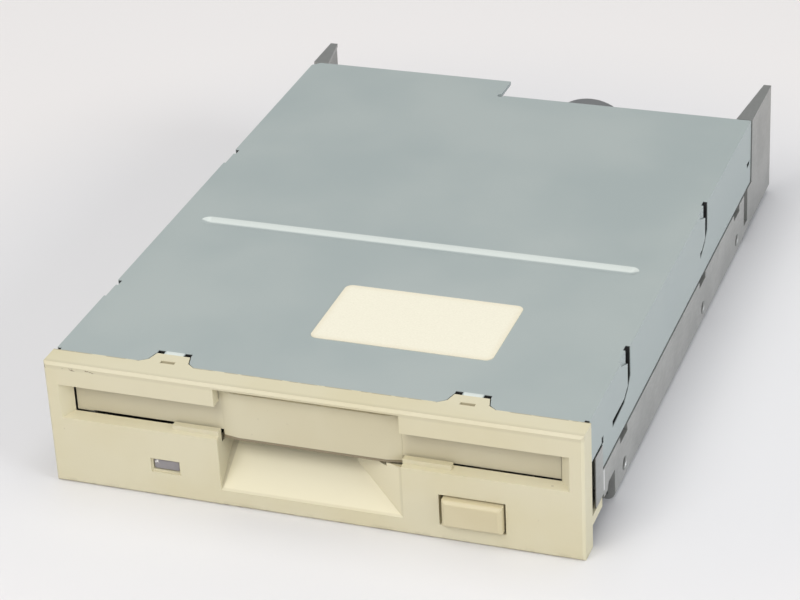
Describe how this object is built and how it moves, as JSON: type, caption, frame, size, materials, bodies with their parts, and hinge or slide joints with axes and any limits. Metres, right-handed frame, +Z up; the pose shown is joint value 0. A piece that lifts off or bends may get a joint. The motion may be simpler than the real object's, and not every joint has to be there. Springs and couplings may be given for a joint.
{
  "type": "floppy disk drive",
  "caption": "Slim 3.5-inch floppy disk drive with a beige bezel, dust flap, eject button, grey painted cover and zinc rails.",
  "frame": {"origin": "middle of the underside of the drive's bounding box, with the rails' feet at z 0", "axes": "+X right as seen from the front, +Y back from the bezel, +Z up"},
  "size_m": [0.1016, 0.15, 0.0255],
  "materials": {
    "bezel_plastic": "fine spark-eroded grain",
    "flap_plastic": "fine grain",
    "lens_plastic": "clear, polished",
    "cover_paint": "fine satin paint over steel sheet",
    "zinc_sheet": "dull zinc plate",
    "bright_sheet": "bright zinc plate",
    "ground_steel": "ground",
    "screw_steel": "plated",
    "spring_steel": "drawn wire",
    "paper": "uncoated paper",
    "black_plastic": "moulded",
    "white_plastic": "moulded",
    "ceramic": "lapped",
    "ferrite": "bare",
    "stator_steel": "stacked sheet",
    "copper_wire": "enamelled wire",
    "bronze": "sintered",
    "gold_plate": "plated",
    "board_green": "solder mask",
    "film": "polyimide film",
    "can_steel": "satin",
    "sleeve": "shrunk sleeve"
  },
  "bodies": {
    "frame": {"bezel": "bezel_plastic", "flap_spring": "spring_steel", "led_lens": "lens_plastic", "led": "lens_plastic", "chassis_floor": "zinc_sheet", "chassis_right": "zinc_sheet", "chassis_left": "zinc_sheet", "spring_anchors": "zinc_sheet", "top_cover": "cover_paint", "paper_label": "paper", "slide_springs": "spring_steel", "head_ribbon": "film", "guide_rod": "ground_steel", "rod_clamps": "bright_sheet", "rod_clamp_screws": "screw_steel", "stepper_motor": "can_steel", "stepper_screws": "screw_steel", "lead_screw_bracket": "bright_sheet", "stator_core": "stator_steel", "stator_coils": "copper_wire", "spindle_bearing": "bronze", "motor_board": "board_green", "motor_board_screws": "screw_steel", "main_board": "board_green", "main_board_screws": "screw_steel", "control_chips": "black_plastic", "capacitors": "sleeve", "signal_connector": "black_plastic", "signal_pins": "gold_plate", "power_connector": "white_plastic", "power_pins": "gold_plate", "track_sensor": "black_plastic", "switch_bodies": "black_plastic"},
    "flap": {"dust_flap": "flap_plastic"},
    "slide": {"slide_plate": "bright_sheet", "eject_button": "bezel_plastic"},
    "holder": {"disk_holder": "bright_sheet", "holder_pins": "screw_steel", "lever_pivot": "screw_steel", "lever_spring": "spring_steel"},
    "lever": {"shutter_lever": "bright_sheet"},
    "carriage": {"head_carriage": "black_plastic", "lower_head": "ceramic", "lead_needle": "screw_steel", "arm_hinge_leaf": "spring_steel"},
    "arm": {"upper_arm": "black_plastic", "upper_head": "ceramic"},
    "screw": {"lead_screw": "ground_steel"},
    "spindle": {"spindle_shaft": "ground_steel", "spindle_hub": "bright_sheet", "drive_pin": "ground_steel", "rotor_cup": "bright_sheet", "ring_magnet": "ferrite"},
    "write_protect": {"write_protect_plunger": "white_plastic"},
    "disk_in": {"disk_in_plunger": "white_plastic"},
    "density": {"density_plunger": "white_plastic"}
  },
  "joints": [
    {"name": "flap_swing", "type": "hinge", "parent": "frame", "child": "flap", "pos_m": [0, -0.07035, 0.02362], "axis": [1, 0, 0], "range_deg": [0, 72], "stiffness_Nm_per_rad": 0.002},
    {"name": "eject_slide", "type": "slide", "parent": "frame", "child": "slide", "axis": [0, -1, 0], "range_m": [0, 0.006], "deforming": ["slide_springs"]},
    {"name": "holder_drop", "type": "slide", "parent": "frame", "child": "holder", "axis": [0, 0, -1], "range_m": [0, 0.003]},
    {"name": "lever_swing", "type": "hinge", "parent": "holder", "child": "lever", "pos_m": [-0.036, 0.01945, 0.0208], "axis": [0, 0, 1], "range_deg": [0, 32], "deforming": ["lever_spring"]},
    {"name": "head_seek", "type": "slide", "parent": "frame", "child": "carriage", "axis": [0, -1, 0], "range_m": [0, 0.0148], "deforming": ["head_ribbon"]},
    {"name": "arm_lower", "type": "hinge", "parent": "carriage", "child": "arm", "pos_m": [0, 0.04645, 0.01655], "axis": [1, 0, 0], "range_deg": [0, 11.97]},
    {"name": "lead_screw_turn", "type": "hinge", "parent": "frame", "child": "screw", "pos_m": [0.012, 0.03645, 0.0105], "axis": [0, 1, 0], "range_deg": [0, 1425]},
    {"name": "spindle_turn", "type": "hinge", "parent": "frame", "child": "spindle", "pos_m": [0, -0.02055, 0.008], "axis": [0, 0, 1], "continuous": true},
    {"name": "write_protect_press", "type": "slide", "parent": "frame", "child": "write_protect", "axis": [0, 0, -1], "range_m": [0, 0.0012], "stiffness_N_per_m": 200},
    {"name": "disk_in_press", "type": "slide", "parent": "frame", "child": "disk_in", "axis": [0, 0, -1], "range_m": [0, 0.0012], "stiffness_N_per_m": 200},
    {"name": "density_press", "type": "slide", "parent": "frame", "child": "density", "axis": [0, 0, -1], "range_m": [0, 0.0012], "stiffness_N_per_m": 200}
  ],
  "couplings": [
    {"joint": "holder_drop", "follows": "eject_slide", "ratio": 0.5},
    {"joint": "lever_swing", "follows": "eject_slide", "rad_per_m": 93.084},
    {"joint": "arm_lower", "follows": "eject_slide", "rad_per_m": 34.828},
    {"joint": "lead_screw_turn", "follows": "head_seek", "rad_per_m": 1675.5}
  ]
}
